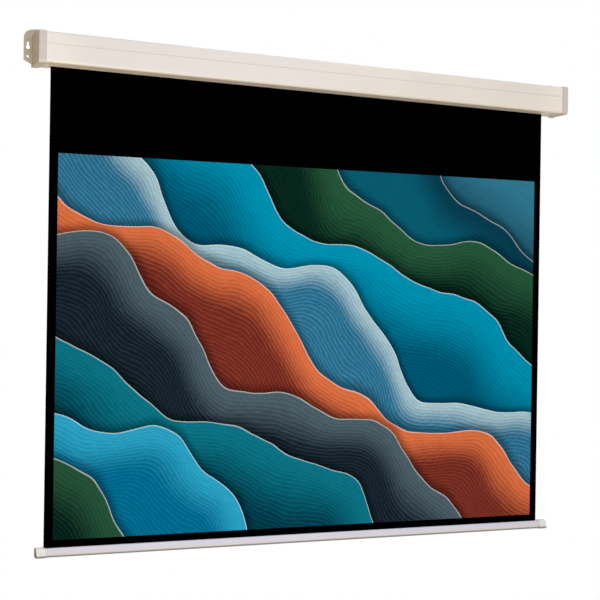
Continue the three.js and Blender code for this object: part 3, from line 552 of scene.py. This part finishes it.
def shell(name, spots, uvs, front, back):
    """A closed shell from a grid of (front, back) points, with the grid's UVs on both faces."""
    rows, columns = len(spots), len(spots[0])
    points = [point for row in spots for pair in row for point in pair]

    def index(row, column, face):
        return 2 * (row * columns + column) + face

    faces, materials = [], []
    for row in range(rows - 1):
        for column in range(columns - 1):
            corners = [(row, column), (row, column + 1), (row + 1, column + 1), (row + 1, column)]
            faces.append([index(*corner, 0) for corner in corners])
            faces.append([index(*corner, 1) for corner in reversed(corners)])
            materials += [0, 1]
    down = [(row, 0) for row in range(rows)]
    along = [(rows - 1, column) for column in range(1, columns)]
    up = [(row, columns - 1) for row in range(rows - 2, -1, -1)]
    back_along = [(0, column) for column in range(columns - 2, 0, -1)]
    rim = down + along + up + back_along
    for here, there in zip(rim, rim[1:] + rim[:1]):
        faces.append([index(*here, 0), index(*there, 0), index(*there, 1), index(*here, 1)])
        materials.append(1)
    mesh = bpy.data.meshes.new(name)
    mesh.from_pydata(points, [], faces)
    layer = mesh.uv_layers.new(name=SHEET_UV)
    flat_uvs = [uv for row in uvs for uv in row]
    for loop in mesh.loops:
        layer.data[loop.index].uv = flat_uvs[loop.vertex_index // 2]
    for face, material in zip(mesh.polygons, materials):
        face.material_index = material
        face.use_smooth = True
    mesh.materials.append(front)
    mesh.materials.append(back)
    mesh.set_sharp_from_angle(angle=SHARP_EDGE)
    return added(name, mesh)


def steps(count):
    """The shares from 0 to 1 in even steps."""
    return [i / count for i in range(count + 1)]


def eased(share):
    """The share held to 0 to 1, with a soft start and end."""
    share = min(max(share, 0), 1)
    return share * share * (3 - 2 * share)


front_finish = sheet_front()
back_finish = sheet_back()


def ripple(across, down):
    """How far the hanging sheet stands back from its plane, at a place across and down it."""
    edge = min(across, sheet_width - across, down, sheet_length - down)
    swell = sum(
        share * math.sin(2 * math.pi * count * across / sheet_width + phase)
        for count, phase, share in RIPPLES
    )
    fade = eased(edge / RIPPLE_FADE)
    return fade * RIPPLE_DEPTH * swell * math.sin(math.pi * down / sheet_length)


def hanging_sheet():
    """The sheet from the roller down to the bar."""
    spots, uvs = [], []
    for down in steps(SHEET_ROWS):
        drop = down * sheet_length
        row, row_uvs = [], []
        for across in steps(SHEET_COLUMNS):
            side = across * sheet_width
            y = sheet_plane + ripple(side, drop)
            place = Vector((sheet_low.x + side, y, sheet_high.z - drop))
            half = Vector((0, sheet_thickness / 2, 0))
            row.append((place - half, place + half))
            row_uvs.append((side, drop))
        spots.append(row)
        uvs.append(row_uvs)
    return shell("hanging_sheet", spots, uvs, front_finish, back_finish)


def sheet_on_roller():
    """The turns that stay on the roller when the sheet is down, and their length."""
    radius = sheet_plane - roller_axis.y
    whole = 2 * math.pi * TURNS_ON_ROLLER
    length = whole * (radius - TURN_PITCH * TURNS_ON_ROLLER / 2)
    spots, uvs = [], []
    for share in steps(TURN_STEPS):
        angle = share * whole
        reach = radius - TURN_PITCH * share * TURNS_ON_ROLLER
        outwards = Vector((0, math.cos(angle), math.sin(angle)))
        row, row_uvs = [], []
        for across in steps(TURN_COLUMNS):
            x = sheet_low.x + across * sheet_width
            place = Vector((x, roller_axis.y, roller_axis.z)) + outwards * reach
            half = outwards * sheet_thickness / 2
            row.append((place - half, place + half))
            row_uvs.append((across * sheet_width, -share * length))
        spots.append(row)
        uvs.append(row_uvs)
    return shell("sheet_on_roller", spots, uvs, front_finish, back_finish), length


hanging = hanging_sheet()
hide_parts("screen_sheet")
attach(hanging, "housing")
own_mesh(hanging)

turns, turns_length = sheet_on_roller()
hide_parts("sheet_turns")
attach(turns, "roller")


# The hard pieces: their finish by material slot, and their edges slightly rounded

def smooth_faces():
    """A node group that shades a mesh's faces smooth."""
    group = bpy.data.node_groups.new("smooth_faces", "GeometryNodeTree")
    for way in ("INPUT", "OUTPUT"):
        group.interface.new_socket("Geometry", in_out=way, socket_type="NodeSocketGeometry")
    entry = group.nodes.new("NodeGroupInput")
    smooth = group.nodes.new("GeometryNodeSetShadeSmooth")
    leaving = group.nodes.new("NodeGroupOutput")
    group.links.new(entry.outputs[0], smooth.inputs["Geometry"])
    group.links.new(smooth.outputs[0], leaving.inputs[0])
    return group


smooth_group = smooth_faces()


def soften(node):
    """Rounds the sharp edges of a CAD node, and shades its facets as one surface."""
    weld = node.modifiers.new("weld", "WELD")
    weld.merge_threshold = SAME_PLACE
    smooth = node.modifiers.new("smooth", "NODES")
    smooth.node_group = smooth_group
    bevel = node.modifiers.new("bevel", "BEVEL")
    bevel.limit_method = "ANGLE"
    bevel.angle_limit = SHARP_EDGE
    bevel.width = EDGE_ROUNDING
    bevel.segments = EDGE_SEGMENTS
    normals = node.modifiers.new("normals", "WEIGHTED_NORMAL")
    normals.weight = AREA_WEIGHT


# The nodes that the sheets replace are hidden, and the spring's thin wire keeps its edges
for node in frame["nodes"].values():
    if node.hide_render:
        continue
    slot = node.data.materials[0].name.split(".")[0]
    node.data.materials[0] = hard_finishes[slot]
    if node.name != "torsion_spring":
        soften(node)


# Floor

def floor():
    """A pale disc that keeps the soft shadow and fades into the background before its rim."""
    pale = colour(*FLOOR_COLOUR)
    finish = Finish("floor", pale, FLOOR_ROUGHNESS)
    place = finish.place()
    finish.show(finish.shade(pale, place, size=0.3, light=1, dark=0.985))
    seen = finish.add("ShaderNodeLightPath").outputs["Is Camera Ray"]
    finish.shader.inputs["Emission Color"].default_value = WHITE
    finish.set(finish.shader.inputs["Emission Strength"], finish.product(seen, FLOOR_GLOW))
    distance = finish.add("ShaderNodeVectorMath", operation="LENGTH")
    finish.set(distance.inputs[0], place)
    away = distance.outputs["Value"]
    edge = finish.range(away, FLOOR_FADE_START, FLOOR_RADIUS, 1, 0, smooth=True)
    finish.set(finish.shader.inputs["Alpha"], edge)
    points = [(0, 0, 0)]
    for ring in range(1, FLOOR_RINGS + 1):
        for step in range(FLOOR_STEPS):
            angle = 2 * math.pi * step / FLOOR_STEPS
            reach = FLOOR_RADIUS * ring / FLOOR_RINGS
            points.append((reach * math.cos(angle), reach * math.sin(angle), 0))
    faces = []
    for step in range(FLOOR_STEPS):
        after = (step + 1) % FLOOR_STEPS
        faces.append((0, 1 + step, 1 + after))
        for ring in range(FLOOR_RINGS - 1):
            inner, outer = 1 + ring * FLOOR_STEPS, 1 + (ring + 1) * FLOOR_STEPS
            faces.append((inner + step, outer + step, outer + after, inner + after))
    mesh = bpy.data.meshes.new("floor")
    mesh.from_pydata(points, [], faces)
    mesh.materials.append(finish.material)
    disc = added("floor", mesh)
    disc.location = (0, 0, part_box("bar_profile")[0].z - FLOOR_DROP)


floor()


# Light

def lamp(name, place, target, size, power, tint):
    """A rectangular lamp that faces its target."""
    light = bpy.data.lights.new(name, "AREA")
    light.shape = "RECTANGLE"
    light.size, light.size_y = size
    light.energy = power
    light.color = tint
    holder = added(name, light)
    holder.location = place
    holder.rotation_euler = (target - place).to_track_quat("-Z", "Y").to_euler()


def world():
    """White to the camera and in reflections. Otherwise a soft ambient light, warm from below and
    dim from the left."""
    made = bpy.data.worlds.new("studio")
    made.use_nodes = True
    bpy.context.scene.world = made
    tree = made.node_tree
    tree.nodes.clear()
    path = tree.nodes.new("ShaderNodeLightPath")
    seen = path.outputs["Is Camera Ray"]
    for ray in ("Is Glossy Ray", "Is Transmission Ray"):
        either = tree.nodes.new("ShaderNodeMath")
        either.operation = "MAXIMUM"
        tree.links.new(seen, either.inputs[0])
        tree.links.new(path.outputs[ray], either.inputs[1])
        seen = either.outputs[0]
    heading = tree.nodes.new("ShaderNodeTexCoord").outputs["Generated"]
    parts = tree.nodes.new("ShaderNodeSeparateXYZ")
    tree.links.new(heading, parts.inputs[0])

    def blend(axis, start, end, low):
        """A mix that shows the low colour up to the start of the span of heading."""
        share = tree.nodes.new("ShaderNodeMapRange")
        tree.links.new(parts.outputs[axis], share.inputs["Value"])
        share.inputs["From Min"].default_value = start
        share.inputs["From Max"].default_value = end
        ambient = tree.nodes.new("ShaderNodeMix")
        ambient.data_type = "RGBA"
        tree.links.new(share.outputs["Result"], ambient.inputs["Factor"])
        ambient.inputs["A"].default_value = (*low, 1)
        return ambient

    upright = blend("Z", *AMBIENT_RISE_SPAN, AMBIENT_BELOW)
    upright.inputs["B"].default_value = (*AMBIENT_ABOVE, 1)
    sideways = blend("X", *AMBIENT_LEFT_SPAN, AMBIENT_LEFT)
    tree.links.new(upright.outputs["Result"], sideways.inputs["B"])
    soft, white = (tree.nodes.new("ShaderNodeBackground") for _ in range(2))
    tree.links.new(sideways.outputs["Result"], soft.inputs["Color"])
    white.inputs["Color"].default_value = WHITE
    sky = tree.nodes.new("ShaderNodeMixShader")
    tree.links.new(seen, sky.inputs[0])
    tree.links.new(soft.outputs[0], sky.inputs[1])
    tree.links.new(white.outputs[0], sky.inputs[2])
    out = tree.nodes.new("ShaderNodeOutputWorld")
    tree.links.new(sky.outputs[0], out.inputs["Surface"])


middle = Vector((0, sheet_plane, (sheet_low.z + case_high.z) / 2))
left_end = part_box("end_cap_left")[0]
lamp("key", KEY_PLACE, middle, KEY_SIZE, KEY_POWER, KEY_COLOUR)
lamp("low", LOW_PLACE, middle, LOW_SIZE, LOW_POWER, LOW_COLOUR)
lamp("side", SIDE_PLACE, left_end, SIDE_SIZE, SIDE_POWER, SIDE_COLOUR)
lamp("top", TOP_PLACE, case_high, TOP_SIZE, TOP_POWER, TOP_COLOUR)
world()


# Camera

def camera():
    """The camera: it heads from +Y towards +X, rises from level and tilts about its own sight."""
    ahead = Vector((
        math.sin(CAMERA_HEADING) * math.cos(CAMERA_RISE),
        math.cos(CAMERA_HEADING) * math.cos(CAMERA_RISE),
        math.sin(CAMERA_RISE),
    ))
    level = ahead.cross(Vector((0, 0, 1))).normalized()
    upright = level.cross(ahead)
    right = level * math.cos(CAMERA_TILT) + upright * math.sin(CAMERA_TILT)
    up = upright * math.cos(CAMERA_TILT) - level * math.sin(CAMERA_TILT)
    lens = bpy.data.cameras.new("camera")
    lens.lens = CAMERA_LENS
    lens.sensor_width = CAMERA_SENSOR
    lens.shift_x = CAMERA_SHIFT_RIGHT
    lens.shift_y = CAMERA_SHIFT_UP
    holder = added("camera", lens)
    turn = Matrix((right, up, -ahead)).transposed()
    holder.matrix_world = Matrix.Translation(CAMERA_PLACE) @ turn.to_4x4()
    bpy.context.scene.camera = holder


camera()
bpy.context.scene.view_settings.view_transform = "Standard"
